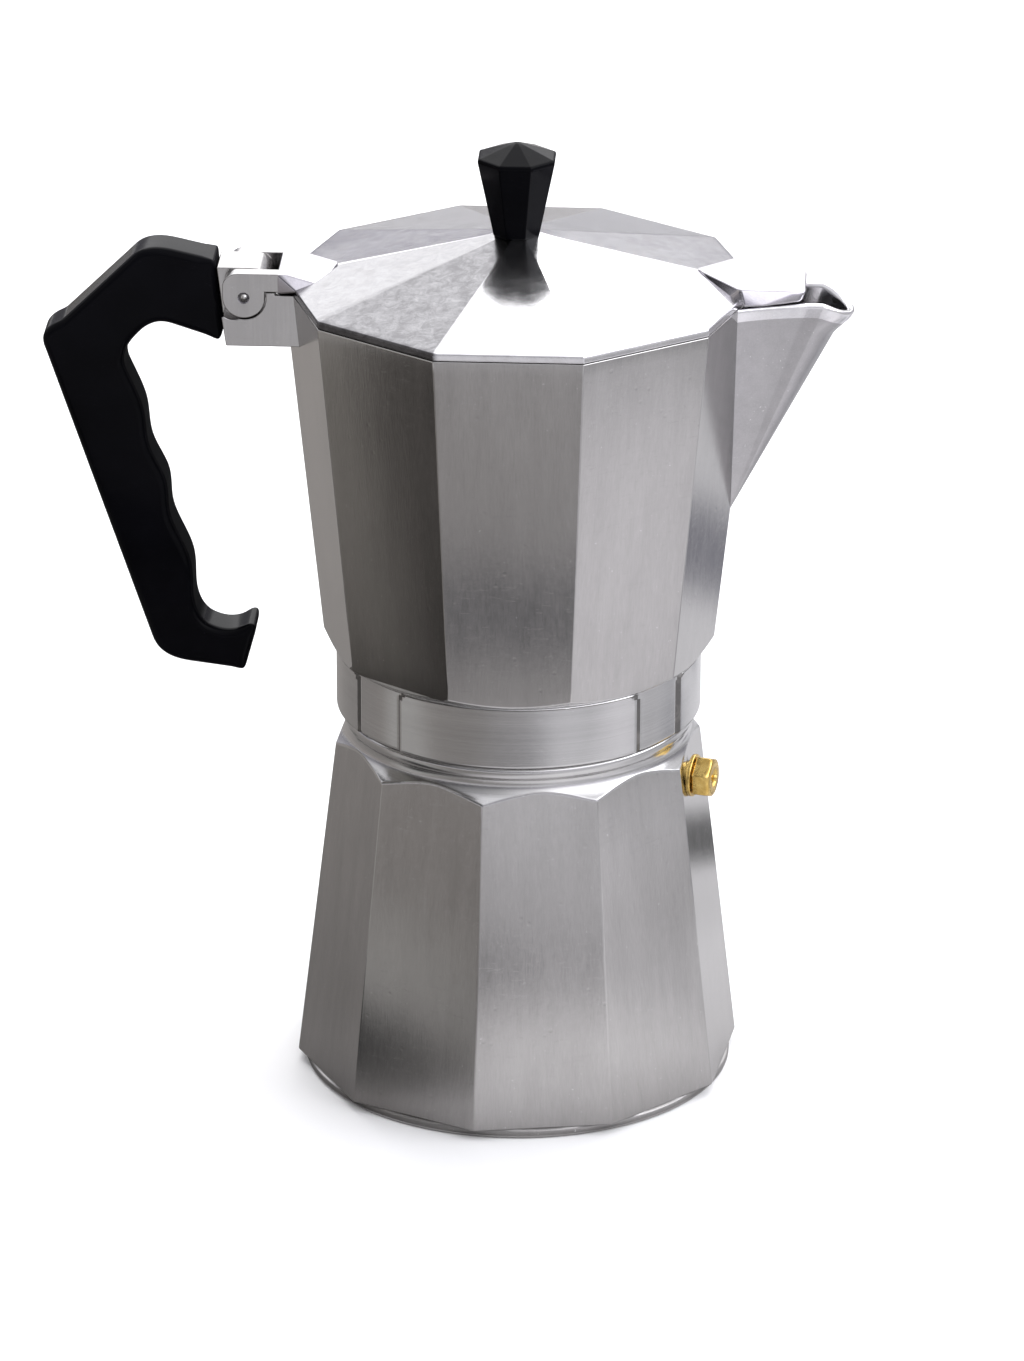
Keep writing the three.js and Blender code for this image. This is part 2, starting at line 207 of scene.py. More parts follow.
def carve(o, patch):
    """Cuts the closed patch out of o and keeps the result as o's mesh."""
    mesh = bpy.data.meshes.new("cutter")
    mesh.from_pydata(((patch[0] + [0, 0, LIFT]) / 1000).tolist(), [], patch[1])
    knife = bpy.data.objects.new("cutter", mesh)
    bpy.context.scene.collection.objects.link(knife)
    mod = o.modifiers.new("cut", "BOOLEAN")
    mod.operation, mod.solver, mod.object = "DIFFERENCE", "EXACT", knife
    done = bpy.data.meshes.new_from_object(o.evaluated_get(bpy.context.evaluated_depsgraph_get()))
    o.modifiers.remove(mod)
    old, name = o.data, o.data.name
    o.data = done
    bpy.data.meshes.remove(old)
    done.name = name
    bpy.data.objects.remove(knife)
    bpy.data.meshes.remove(mesh)


# ------------------------------------------------------- faceted bodies of columns
class Facets:
    """Columns round a polygon with softened corners. A column's point is apothem * A + softening * B."""

    def __init__(self, sides, turn, across=24, arc_steps=8):
        half = PI / sides
        A, B = [], []
        for k in range(sides):
            corner = math.radians(turn) + 2 * half * k
            d = np.array([math.cos(corner), math.sin(corner)]) / math.cos(half)
            for i in range(arc_steps + 1):
                phi = corner + half * (2 * i / arc_steps - 1)
                A.append(d)
                B.append(np.array([math.cos(phi), math.sin(phi)]) - d)
            mid = corner + half
            n, t = np.array([math.cos(mid), math.sin(mid)]), np.array([-math.sin(mid), math.cos(mid)])
            for i in range(1, across):
                s = 2 * i / across - 1
                A.append(n + s * math.tan(half) * t)
                B.append(-s * math.tan(half) * t)
        self.A, self.B, self.count = np.array(A), np.array(B), len(A)

    def xy(self, apothem, soft):
        return self.A * np.reshape(apothem, (-1, 1)) + self.B * soft

    def row(self, apothem, z, soft):
        z = np.broadcast_to(np.asarray(z, float), (self.count,))
        return np.column_stack([self.xy(np.broadcast_to(apothem, (self.count,)), soft), z])

    def meet(self, apothem, soft, turned_r, low, high):
        """For each column, the height where the flat side meets the turned surface turned_r(z)."""
        lo, hi = np.full(self.count, float(low)), np.full(self.count, float(high))
        gap = lambda z: np.linalg.norm(self.xy(apothem(z), soft), axis=1) - turned_r(z)
        sign = np.sign(gap(lo))
        for _ in range(40):
            mid = (lo + hi) / 2
            same = np.sign(gap(mid)) == sign
            lo, hi = np.where(same, mid, lo), np.where(same, hi, mid)
        return (lo + hi) / 2

    def round_row(self, r, z, toward):
        """A row on a turned surface, in each column's own direction."""
        d = toward / np.linalg.norm(toward, axis=1)[:, None]
        r = np.broadcast_to(np.asarray(r, float), (self.count,))
        z = np.broadcast_to(np.asarray(z, float), (self.count,))
        return np.column_stack([d * r[:, None], z])


def cone(r0, z0, r1, z1):
    """Apothem of a tapering ten-sided body as a function of height, from its corner radii."""
    c = math.cos(PI / SIDES)
    return lambda z: c * (r0 + (np.asarray(z, float) - z0) * (r1 - r0) / (z1 - z0))


def smoothstep(a, b, x):
    t = np.clip((x - a) / (b - a), 0, 1)
    return t * t * (3 - 2 * t)


# ---------------------------------------------------------------- materials
def material(name):
    """A new material, its node tree and its shader."""
    m = bpy.data.materials.new(name)
    m.use_nodes = True
    nt = m.node_tree
    nt.nodes.clear()
    out = nt.nodes.new("ShaderNodeOutputMaterial")
    shader = nt.nodes.new("ShaderNodeBsdfPrincipled")
    nt.links.new(shader.outputs[0], out.inputs[0])
    return m, nt, shader


def node(nt, kind, **values):
    """A new node with the values of some of its inputs."""
    n = nt.nodes.new(kind)
    for key, value in values.items():
        n.inputs[key].default_value = value
    return n


def link(nt, a, b):
    nt.links.new(a, b)


def object_place(nt):
    """The place of a surface point on its own piece, in metres."""
    return nt.nodes.new("ShaderNodeTexCoord").outputs["Object"]


def split(nt, vector):
    """The vector's x, y and z outputs."""
    n = nt.nodes.new("ShaderNodeSeparateXYZ")
    link(nt, vector, n.inputs[0])
    return n.outputs


def ramp(nt, source, stops):
    """The source sent through (position, grey or colour) stops in order."""
    r = nt.nodes.new("ShaderNodeValToRGB")
    while len(r.color_ramp.elements) < len(stops):
        r.color_ramp.elements.new(0.5)
    for e, (at, colour) in zip(r.color_ramp.elements, stops):
        e.position = at
        e.color = (*colour, 1) if isinstance(colour, tuple) else (colour, colour, colour, 1)
    link(nt, source, r.inputs[0])
    return r.outputs[0]


def noise(nt, coords, scale, size, detail=3, roughness=0.5, distortion=0.0):
    """Noise over coordinates in metres, with one cell of about size millimetres, stretched by scale."""
    m = node(nt, "ShaderNodeMapping", Scale=[s * 1000 / size for s in scale])
    link(nt, coords, m.inputs["Vector"])
    n = node(nt, "ShaderNodeTexNoise", Scale=1.0, Detail=detail, Roughness=roughness, Distortion=distortion)
    link(nt, m.outputs[0], n.inputs["Vector"])
    return n.outputs["Fac"]


def math_node(nt, op, a, b=None):
    """One sum on numbers or outputs."""
    n = nt.nodes.new("ShaderNodeMath")
    n.operation = op
    for i, x in enumerate((a, b)):
        if x is None:
            continue
        if isinstance(x, (int, float)):
            n.inputs[i].default_value = x
        else:
            link(nt, x, n.inputs[i])
    return n.outputs[0]


def mix_colour(nt, fac, a, b):
    """Colour a where fac is 0, and b where it is 1."""
    n = nt.nodes.new("ShaderNodeMix")
    n.data_type = "RGBA"
    for socket, x in ((n.inputs[0], fac), (n.inputs[6], a), (n.inputs[7], b)):
        if isinstance(x, (int, float)):
            socket.default_value = x
        elif isinstance(x, tuple):
            socket.default_value = (*x, 1)
        else:
            link(nt, x, socket)
    return n.outputs[2]


def bumps(nt, shader, heights):
    """Chains bump nodes: each entry is (height output, distance in mm, strength)."""
    last = None
    for height, distance, strength in heights:
        b = node(nt, "ShaderNodeBump", Distance=distance / 1000, Strength=strength)
        link(nt, height, b.inputs["Height"])
        if last is not None:
            link(nt, last, b.inputs["Normal"])
        last = b.outputs[0]
    link(nt, last, shader.inputs["Normal"])


def aluminium(name, grain, colour=(0.46, 0.45, 0.445), rough=(0.12, 0.21), wear_and_glints=1.0, stain=0.0, pits=1.0,
              grain_bump=0.012, dull=None):
    """Polished cast metal. grain is the stretch of its fine lines along x, y, z; None means turned lines.
    dull lists sides of the body that are darker and rougher, each as the angle where it starts and how much.
    """
    m, nt, s = material(name)
    at = object_place(nt)
    if grain is None:
        x, y, z = split(nt, at)
        radial = math_node(nt, "SQRT", math_node(nt, "ADD", math_node(nt, "MULTIPLY", x, x),
                                                 math_node(nt, "MULTIPLY", y, y)))
        com = node(nt, "ShaderNodeCombineXYZ")
        link(nt, radial, com.inputs[0])
        link(nt, z, com.inputs[2])
        lines = noise(nt, com.outputs[0], (1, 1, 1), 0.35, 2)
        broad = noise(nt, com.outputs[0], (1, 1, 1), 2.5, 2)
    else:
        lines = noise(nt, at, grain, 0.45, 3, 0.6)
        broad = noise(nt, at, grain, 3.5, 2, 0.5)
    cloud = noise(nt, at, (1, 1, 0.6), 38, 3, 0.55, 0.4)
    fine = noise(nt, at, (1, 1, 1), 2.2, 4, 0.65)
    tone = math_node(nt, "ADD", math_node(nt, "MULTIPLY", cloud, 0.4), math_node(nt, "MULTIPLY", broad, 0.25))
    tone = math_node(nt, "ADD", tone, math_node(nt, "MULTIPLY", lines, 0.35))
    base = ramp(nt, tone, [(0.34, tuple(c * 0.84 for c in colour)), (0.66, tuple(c * 1.08 for c in colour))])
    specks = ramp(nt, noise(nt, at, (1, 1, 1), 1.3, 2, 0.5), [(0.70, 0.0), (0.78, 1.0)])
    base = mix_colour(nt, math_node(nt, "MULTIPLY", specks, 0.25 * wear_and_glints), base, (0.42, 0.39, 0.36))
    # Painted glints: tiny specks of much lighter colour that stand in for highlights.
    glints = ramp(nt, noise(nt, at, (1, 1, 1), 0.9, 2, 0.6), [(0.71, 0.0), (0.77, 1.0)])
    base = mix_colour(nt, math_node(nt, "MULTIPLY", glints, 0.6 * wear_and_glints), base, (0.9, 0.9, 0.9))
    if stain:
        blot = ramp(nt, noise(nt, at, (1, 1, 1), 9, 5, 0.7, 0.8), [(0.5, 0.0), (0.62, 1.0)])
        base = mix_colour(nt, math_node(nt, "MULTIPLY", blot, 0.35 * stain), base, (0.5, 0.47, 0.45))
    r = math_node(nt, "ADD", math_node(nt, "MULTIPLY", tone, 0.7), math_node(nt, "MULTIPLY", fine, 0.3))
    if dull:
        x, y, _ = split(nt, at)
        turn = math_node(nt, "ARCTAN2", y, x)
        turn = math_node(nt, "ADD", math_node(nt, "DIVIDE", turn, 2 * PI), 0.5)
        side_patches = ramp(nt, noise(nt, at, (1, 1, 1), 4, 6, 0.8, 0.6), [(0.4, 0.0), (0.68, 1.0)])
        darker_side_colour = mix_colour(nt, side_patches, (0.075, 0.073, 0.077), (0.15, 0.148, 0.154))
        # Sides picked by direction get a darker, patchy colour and more roughness.
        for start, how in dull:
            low, high = (start + 180) % 360 / 360, (start + 180 + FACET) % 360 / 360
            sector = ramp(nt, turn, [(low - 0.003, 0.0), (low - 0.001, 1.0), (high + 0.001, 1.0), (high + 0.003, 0.0)])
            sector = math_node(nt, "MULTIPLY", sector, how)
            base = mix_colour(nt, sector, base, darker_side_colour)
            r = math_node(nt, "ADD", r, math_node(nt, "MULTIPLY", sector, 0.6))
    link(nt, base, s.inputs["Base Color"])
    s.inputs["Metallic"].default_value = 1.0
    if stain:
        r = math_node(nt, "ADD", r, math_node(nt, "MULTIPLY", blot, 0.3 * stain))
    link(nt, ramp(nt, r, [(0.3, rough[0]), (0.75, rough[1])]), s.inputs["Roughness"])
    scratch = ramp(nt, noise(nt, at, (0.35, 0.35, 3.0), 3.0, 1, 0.4, 1.5), [(0.695, 0.0), (0.705, 1.0), (0.72, 0.0)])
    small = node(nt, "ShaderNodeTexVoronoi", Scale=170)
    link(nt, at, small.inputs["Vector"])
    holes = ramp(nt, small.outputs["Distance"], [(0.05, 0.0), (0.13, 1.0)])
    bumps(nt, s, [(lines, grain_bump, 1.0), (holes, 0.02 * pits, 0.5), (scratch, -0.008 * wear_and_glints, 0.4),
                  (cloud, 0.08, 0.5), (fine, 0.02, 0.5)])
    return m


def plastic(name):
    """Glossy black moulding, matte where it faces along x, with fine dust and scratches."""
    m, nt, s = material(name)
    at = object_place(nt)
    cloud = noise(nt, at, (1, 1, 1), 30, 3)
    dust = noise(nt, at, (1, 1, 1), 0.8, 3, 0.7)
    link(nt, ramp(nt, cloud, [(0.3, (0.0012, 0.0012, 0.0016)), (0.7, (0.0028, 0.0028, 0.004))]), s.inputs["Base Color"])
    mixed = math_node(nt, "ADD", math_node(nt, "MULTIPLY", cloud, 0.5), math_node(nt, "MULTIPLY", dust, 0.5))
    facing = split(nt, nt.nodes.new("ShaderNodeTexCoord").outputs["Normal"])[0]
    matte = ramp(nt, math_node(nt, "ABSOLUTE", facing), [(0.7, 0.0), (0.9, 0.8)])
    link(nt, math_node(nt, "ADD", ramp(nt, mixed, [(0.35, 0.07), (0.7, 0.2)]), matte), s.inputs["Roughness"])
    s.inputs["IOR"].default_value = 1.12
    scratch = noise(nt, at, (3, 3, 0.3), 2.0, 2, 0.5, 1.0)
    bumps(nt, s, [(noise(nt, at, (1, 1, 1), 14, 2), 0.12, 0.5), (scratch, 0.008, 0.4), (dust, 0.006, 0.4)])
    return m


def metal(name, light, dark, rough):
    """Plain metal, clouded between a light and a dark colour."""
    m, nt, s = material(name)
    at = object_place(nt)
    cloud = noise(nt, at, (1, 1, 1), 4, 4, 0.6, 0.5)
    fine = noise(nt, at, (1, 1, 1), 0.5, 3, 0.6)
    link(nt, ramp(nt, cloud, [(0.35, dark), (0.65, light)]), s.inputs["Base Color"])
    s.inputs["Metallic"].default_value = 1.0
    link(nt, ramp(nt, math_node(nt, "ADD", math_node(nt, "MULTIPLY", cloud, 0.6),
                                math_node(nt, "MULTIPLY", fine, 0.4)), [(0.3, rough[0]), (0.7, rough[1])]),
         s.inputs["Roughness"])
    bumps(nt, s, [(fine, 0.012, 0.6), (cloud, 0.03, 0.4)])
    return m


def rubber(name):
    """Pale matte rubber."""
    m, nt, s = material(name)
    at = object_place(nt)
    cloud = noise(nt, at, (1, 1, 1), 12, 4, 0.6)
    fine = noise(nt, at, (1, 1, 1), 0.6, 3, 0.6)
    link(nt, ramp(nt, cloud, [(0.3, (0.62, 0.55, 0.44)), (0.7, (0.78, 0.74, 0.65))]), s.inputs["Base Color"])
    link(nt, ramp(nt, fine, [(0.3, 0.5), (0.7, 0.75)]), s.inputs["Roughness"])
    bumps(nt, s, [(fine, 0.03, 0.5), (cloud, 0.1, 0.3)])
    return m


CAST = aluminium("cast aluminium, vertical grain", (1, 1, 0.03))
# Painted light: a much lighter copy of the cast aluminium for the lid's top and the spout's rim and inside, where light
# falls. It also has real stains, and some sides darker and rougher.
TOPLIT_CAST = aluminium("cast aluminium, painted lighter on lid and spout rim", (1, 1, 1), colour=(0.8, 0.79, 0.81), stain=0.5, pits=0.6, grain_bump=0.006,
                    dull=((216, 1.0), (180, 0.74), (0, 0.3)))
COVERCAST = aluminium("cast aluminium, cover", (1, 1, 1), colour=(0.47, 0.455, 0.49), stain=0.5, pits=0.6)
SPOUTCAST = aluminium("cast aluminium, spout", (1, 1, 1), colour=(0.45, 0.44, 0.45), rough=(0.27, 0.36), pits=0.7)
# Painted shade: the foot is darker than the sides, so its ledge under them shows no bright reflections. It is also
# rougher.
SHADED_FOOT_CAST = aluminium("cast aluminium, foot, painted darker as shade", (1, 1, 1), colour=(0.36, 0.35, 0.345), rough=(0.36, 0.5))
TURNED = aluminium("turned aluminium", None, colour=(0.55, 0.545, 0.545), rough=(0.14, 0.26), pits=0.5, grain_bump=0.01)
INSIDE = aluminium("inside aluminium", (1, 1, 0.2), colour=(0.62, 0.6, 0.57), rough=(0.36, 0.55), stain=0.8)
PRESSED = aluminium("pressed aluminium", None, colour=(0.75, 0.74, 0.73), rough=(0.28, 0.42), pits=0.2)
# Painted shade: dark lines on the step round the collar's raised pads, where shade falls, with some stain.
PAD_EDGE_SHADE = aluminium("painted shade along the pad edges", (1, 1, 0.1), colour=(0.16, 0.155, 0.15), rough=(0.4, 0.6), stain=0.6)
BLACK = plastic("black moulded plastic")
BRASS = metal("brass", (0.80, 0.58, 0.20), (0.55, 0.36, 0.10), (0.16, 0.34))
STEEL = metal("plated steel", (0.62, 0.61, 0.60), (0.45, 0.44, 0.43), (0.2, 0.4))
RUBBER = rubber("gasket rubber")


# ---------------------------------------------------------------- boiler
def boiler():
    """The boiler from the middle of its foot, up its outside, over its mouth and down its inside."""
    f = Facets(SIDES, 9.7)
    soft = 1.3
    side = cone(66.5, 2.4, 54.8, 100.3)
    shoulder = lambda z: 51.2 + 3.7 * np.maximum(0, (105.9 - z) / 5.9) ** 2.3
    start = np.zeros(f.count)
    top = f.meet(side, soft, shoulder, 97, 106)
    low_dir = f.xy(side(start), soft)
    rows = [f.round_row(r, -3, low_dir) for r in (0.3, 30, 55, 62.8)]
    rows += [f.round_row(r, z, low_dir) for r, z in (
        (63.5, -2.9), (63.95, -2.6), (64.15, -2.1), (64.2, -1.4), (64.15, -0.6), (63.9, -0.2))]
    foot = len(rows) + 1
    rows += [f.row(side(0) - d, z, soft) for d, z in ((0.5, -0.05), (0.2, 0.05), (0.05, 0.3))]
    for t in np.linspace(0, 1, 26):
        z = (start + 0.5) * (1 - t) + (top - 0.7) * t
        rows.append(f.row(side(z), z, soft))
    split_at = len(rows) - 1
    rows.append(f.row(side(top - 0.3) - 0.02, top - 0.3, soft))
    top_dir = f.xy(side(top), soft)
    rows.append(f.round_row(shoulder(top) - 0.1, top - 0.02, top_dir))
    for t in np.linspace(0.06, 1, 12):
        z = top + (105.4 - top) * t ** 1.4
        rows.append(f.round_row(shoulder(z), z, top_dir))
    bead = [(51.2, 106.4), (51.5, 106.9), (51.95, 107.4), (52.25, 108.0), (52.4, 108.7), (52.42, 109.4),
            (52.35, 110.0), (52.1, 110.45), (51.7, 110.7), (51.0, 110.85), (48.6, 110.95), (48.1, 111.2),
            (48, 112), (48, 116), (48, 119.6), (47.8, 120.4), (47.3, 120.9), (46.6, 121), (42, 121), (41.3, 120.8),
            (41, 120.3)]
    rows += [f.round_row(r, z, top_dir) for r, z in bead]
    inner = len(rows) - 1
    inside = [(41, 112), (41, 104), (41.3, 102.8), (42.2, 101.8), (47.6, 97.6), (48.5, 96.5), (48.8, 95), (50.2, 83),
              (53.2, 57), (56.2, 31), (58.8, 6), (58.6, 3.8), (57.4, 2.2), (55.5, 1.6), (40, 1.5), (20, 1.5),
              (0.3, 1.5)]
    rows += [f.round_row(r, z, top_dir) for r, z in inside]
    v, faces = outward(grid(rows, cap_first=True, cap_last=True))
    index = bands(faces, f.count, ((0, 3), (foot, 0), (split_at, 1), (inner, 2)))
    boss = turned([[0.001, 51.5], [7.3, 51.5], [7.3, 54.1], [3.9, 54.1], [3.9, 53.2], [0.001, 53.2]], 64, 0.35)
    thread = helix(47.75, 113, 3, 2, 1.05)
    return [(v, faces, index), (*along_valve(boss), 1), (*thread, 1)]


def helix(r, low, pitch, turns, wire, per_turn=90, sides=8):
    """A rounded screw ridge that fades out at both ends."""
    rows, n = [], int(per_turn * turns)
    for i in range(n + 1):
        a = 2 * PI * turns * i / n
        w = wire * min(1, 0.15 + 6 * min(i, n - i) / n)
        d = np.array([math.cos(a), math.sin(a), 0])
        rows.append([d * (r + w * math.cos(p)) + [0, 0, low + pitch * turns * i / n + w * math.sin(p)]
                     for p in np.arange(sides) * 2 * PI / sides])
    return outward(grid(rows, cap_first=True, cap_last=True))


def along_valve(patch):
    """A patch drawn upright, laid along the safety valve's axis."""
    a = math.radians(344)
    x, y, z = np.array([0, 0, -1.0]), np.array([-math.sin(a), math.cos(a), 0]), np.array([math.cos(a), math.sin(a), 0])
    return placed(patch, np.column_stack([x, y, z]), (0, 0, 94.5))


# ---------------------------------------------------------------- upper pot
PADS = ((272.9, 81), (28.1, 109.5), (157.6, 109.5))  # middle and span of each raised pad, in degrees


def pad_edge(angle, z):
    """How far inside a raised pad a point of the collar is: rounded upper corners, straight sides."""
    best = np.full_like(angle, -99.0)
    for middle, span in PADS:
        d = np.abs((np.degrees(angle) - middle + 180) % 360 - 180)
        side = (span / 2 - d) * PI / 180 * 53.5
        top = 130.4 - z
        r = 3.4
        corner = r - np.hypot(np.maximum(0, r - side), np.maximum(0, r - top))
        inside = np.where((side < r) & (top < r), corner, np.minimum(side, top))
        best = np.maximum(best, inside)
    return best


def pad_height(angle, z):
    return 0.75 * smoothstep(-0.3, 0.25, pad_edge(angle, z))


def pot_shell():
    """The pot from its floor, up its inside, over its rim, down its outside and into the collar."""
    f = Facets(SIDES, 0, across=34)
    soft, soft_in = 1.0, 5.0
    side, side_in = cone(58.1, 133.2, 69.3, 241.4), cone(55.2, 133.2, 66.4, 241.4)
    under = lambda z: 53.5 + (z - 130.1) / 0.674
    floor = lambda z: 49.5 + (z - 131) / 0.676
    meet = f.meet(side, soft, under, 130.2, 136)
    meet_in = f.meet(side_in, soft_in, floor, 131, 145)
    d_in, d_out = f.xy(side_in(meet_in), soft_in), f.xy(side(meet), soft)
    rows = [f.round_row(r, z, d_in) for r, z in (
        (8, 127.8), (8, 130.5), (8.5, 131), (16, 131), (28, 131), (40, 131), (48, 131), (49.2, 131.1), (50, 131.5))]
    for t in (0.3, 0.6, 0.85):
        z = 131.5 + (meet_in - 131.5) * t
        rows.append(f.round_row(floor(z), z, d_in))
    for t in np.linspace(0, 1, 14):
        z = (meet_in + 0.5) * (1 - t) + 240.7 * t
        rows.append(f.row(side_in(z), z, soft_in))
    rows.append(f.row(side_in(241.2) + 0.1, 241.2, soft_in))
    rows.append(f.row(side_in(241.4) + 0.45, 241.4, soft_in * 0.8))
    rim = len(rows)
    rows += [f.row(side(241.4) - 0.35, 241.4, soft), f.row(side(241.3) - 0.08, 241.3, soft)]
    for t in np.linspace(0, 1, 30):
        z = 241.0 * (1 - t) + (meet + 0.55) * t
        rows.append(f.row(side(z), z, soft))
    rows.append(f.row(side(meet + 0.2) - 0.03, meet + 0.2, soft))
    turned_from = len(rows) - 1
    rows.append(f.round_row(under(meet) - 0.12, meet - 0.02, d_out))
    for t in (0.1, 0.3, 0.5, 0.7, 0.9):
        z = meet + (130.25 - meet) * t
        rows.append(f.round_row(under(z), z, d_out))
    rows.append(f.round_row(53.75, 130.2, d_out))
    angle = np.arctan2(d_out[:, 1], d_out[:, 0])
    for z in [130.0, *np.linspace(129.8, 112.3, 44)]:
        rows.append(f.round_row(53.45 + pad_height(angle, z), z, d_out))
    rows += [f.round_row(r + pad_height(angle, 112) * k, z, d_out) for r, z, k in (
        (53.4, 111.9, 1), (53.2, 111.55, 0.8), (52.8, 111.35, 0.5), (52.2, 111.3, 0.1))]
    turned_to = len(rows)
    rows += [f.round_row(r, z, d_out) for r, z in (
        (50.7, 111.3), (50.3, 111.5), (50.2, 112), (50.2, 117), (50.2, 121.4), (49.9, 121.8), (47, 121.8),
        (46.6, 122.1), (46.6, 124.5), (46.6, 127.1), (46.3, 127.4), (30, 127.4), (15, 127.4), (8.3, 127.4))]
    v, faces = outward(grid(rows, loop=True))
    index = bands(faces, f.count, ((0, 2), (rim, 0), (turned_from, 1), (turned_to, 2)))
    # Faces on the step round each raised pad take the fourth material, painted shade.
    for i, q in enumerate(faces):
        x, y, z = v[list(q)].mean(axis=0)
        if index[i] == 1 and z < 130 and abs(pad_edge(np.array([math.atan2(y, x)]), z)[0]) < 0.75:
            index[i] = 3
    return v, faces, index


NOSE, NOSE_R, SPOUT_LOW, RIM = 86.7, 11.1, 172.5, 241.4


def spout_plan():
    """The spout's outline at the rim, from the back of one flank round the nose; the last value is the nose's turn."""
    out = [(62.3, 17.3, 0.0)]
    for i in range(17):
        t = i / 16
        x = 63.9 * (1 - t) ** 2 + 144 * t * (1 - t) + 84.6 * t * t
        y = 16.7 * (1 - t) ** 2 + 25.4 * t * (1 - t) + 11.05 * t * t
        out.append((x, y, 0.0))
    for i in range(1, 20):
        a = math.radians(84 - 84 * i / 19)
        out.append((NOSE + NOSE_R * math.cos(a), NOSE_R * math.sin(a), math.cos(a)))
    half = np.array(out)
    return np.concatenate([half, half[-2::-1] * [1, -1, 1]])


def spout_row(plan, inset, z):
    """The spout's surface, moved in by inset, at the heights z; the lip curls out near its top."""
    x, y, turn = plan.T
    to_nose = np.column_stack([x - NOSE, y]) * (turn > 0)[:, None]
    inward = np.column_stack([np.zeros_like(x), np.sign(y)])
    long = np.linalg.norm(to_nose, axis=1)
    inward[turn > 0] = to_nose[turn > 0] / long[turn > 0][:, None]
    top = np.column_stack([x, y]) - inward * inset
    low = np.array([61.6 + 1.7 * inset, 0.0])
    base = SPOUT_LOW + 3.7 * inset
    t = ((z - base) / (RIM - base))[:, None]
    flat = low + (top - low) * t
    curl = 2.5 * smoothstep(229.5, 235.8, z) * np.maximum(0, turn) ** 2 * (1 - 0.18 * smoothstep(236, 238, z))
    return np.column_stack([flat + inward * curl[:, None], z])


def spout():
    """The spout's outside, its rounded rim and its inside; the rim droops towards the nose."""
    plan = spout_plan()
    droop = 4.3 * np.maximum(0, (plan[:, 2] - 0.15) / 0.85) ** 1.3
    top = RIM - droop
    rows = []
    for t in [*np.linspace(0.012, 0.8, 20), *np.linspace(0.83, 0.98, 12)]:
        rows.append(spout_row(plan, 0, SPOUT_LOW + (top - SPOUT_LOW) * t))
    rim = len(rows) - 4
    for a in np.linspace(0.15, PI - 0.15, 9):
        rows.append(spout_row(plan, 1.4 - 1.4 * math.cos(a), top - 1.1 + 1.1 * math.sin(a)))
    low = SPOUT_LOW + 3.7 * 2.8
    for t in [*np.linspace(0.025, 0.25, 8), *np.linspace(0.3, 0.985, 14)]:
        rows.append(spout_row(plan, 2.8, top + (low - top) * t))
    v, faces = outward(grid(rows, wrap=False))
    # The rim and the inside take the lighter copy of the metal, painted light.
    return v, faces, bands(faces, len(plan), ((0, 0), (rim, 1)))


def channel():
    """The way through the pot's wall into the spout."""
    pts = [(56, 0, 178), (56, 13.5, 246), (56, -13.5, 246), (64.5, 0, 181.2), (64.5, 14.2, 246), (64.5, -14.2, 246),
           (80, 8, 246), (80, -8, 246), (76, 0, 207)]
    return hull(pts, 0)


PIN_X, PIN_Z, OPEN = -79.8, 240.5, 95  # the hinge's axis, and how far the lid opens, in degrees
EAR_R, EAR_CORNER = 6.2, 4.4  # radii of the lid's ears round the pin and at their upper back corner
CORNER_FAR, CORNER_TURN = 3.585, 120.1  # that corner's centre from the pin: distance, and direction in degrees
EAR_GAP = 0.35


def lug():
    """The fixed half of the hinge, cast with the pot, and the tenon in the handle."""
    recess = []
    for a in np.linspace(226, 374, 48):
        swept = math.radians(a - OPEN - CORNER_TURN)
        r = (CORNER_FAR * math.cos(swept) + EAR_GAP
             + math.sqrt(max(0, EAR_CORNER ** 2 - (CORNER_FAR * math.sin(swept)) ** 2)))
        r = max(6.6, r if a < 270 else 0)
        recess.append((PIN_X + r * math.cos(math.radians(a)), PIN_Z + r * math.sin(math.radians(a))))
    side = [(-63, 225.7), (-85.1, 225.7), (-86.3, 234.4), *recess, (-73.2, 242.1), (-70.7, 242.1), (-70.7, 241.4),
            (-63, 241.4)]
    tang = [(-63, 226), (-85, 226), (-86.2, 233), (-88, 248.2), (-78, 248.2), *arc(PIN_X, PIN_Z, 8.55, 62, 0, 14),
            (-71.2, 238), (-63, 237)]
    tenon = [(-99, 234), (-86, 234), (-86, 243.5), (-99, 243.5)]
    front = slab(side, -12.2, -7.3, 0.35)
    return [front, mirrored(front), slab(tang, -7.35, 7.35, 0.4), slab(tenon, -3.5, 3.5, 0.3)]


# ---------------------------------------------------------------- lid
def lid_crown():
    """The lid's ten sloping sides, its edge and its underside."""
    f = Facets(SIDES, 0, across=24)
    c = math.cos(PI / SIDES)
    over = lambda r: 243.9 + 0.2219 * (69.3 - r)
    rows = []
    for r in (2.6, 5, 7.5, 9, 11, 14, 19, 26, 34, 42, 50, 57, 63, 67.5, 68.9):
        lift = 0.5 * math.exp(-((r - 2.6) / 5.5) ** 2)
        rows.append(f.row(r * c, over(r) + lift, min(1.0, 0.05 * r + 0.1)))
    rows += [f.row(r * c, z, 1.0) for r, z in ((69.15, 243.78), (69.3, 243.5), (69.32, 242.9), (69.32, 242.0),
                                               (69.25, 241.7), (68.95, 241.62))]
    under = len(rows)
    rows += [f.row(r * c, z, 2.5) for r, z in ((67, 241.62), (66.7, 241.8), (66.2, 242.1))]
    for r in (60, 50, 40, 28, 16, 6, 2.6):
        rows.append(f.row(r * c, 240.9 + 0.2219 * (71.1 - r), min(2.5, 0.08 * r)))
    v, faces = outward(grid(rows, loop=True))
    return v, faces, bands(faces, f.count, ((0, 0), (under, 1)))


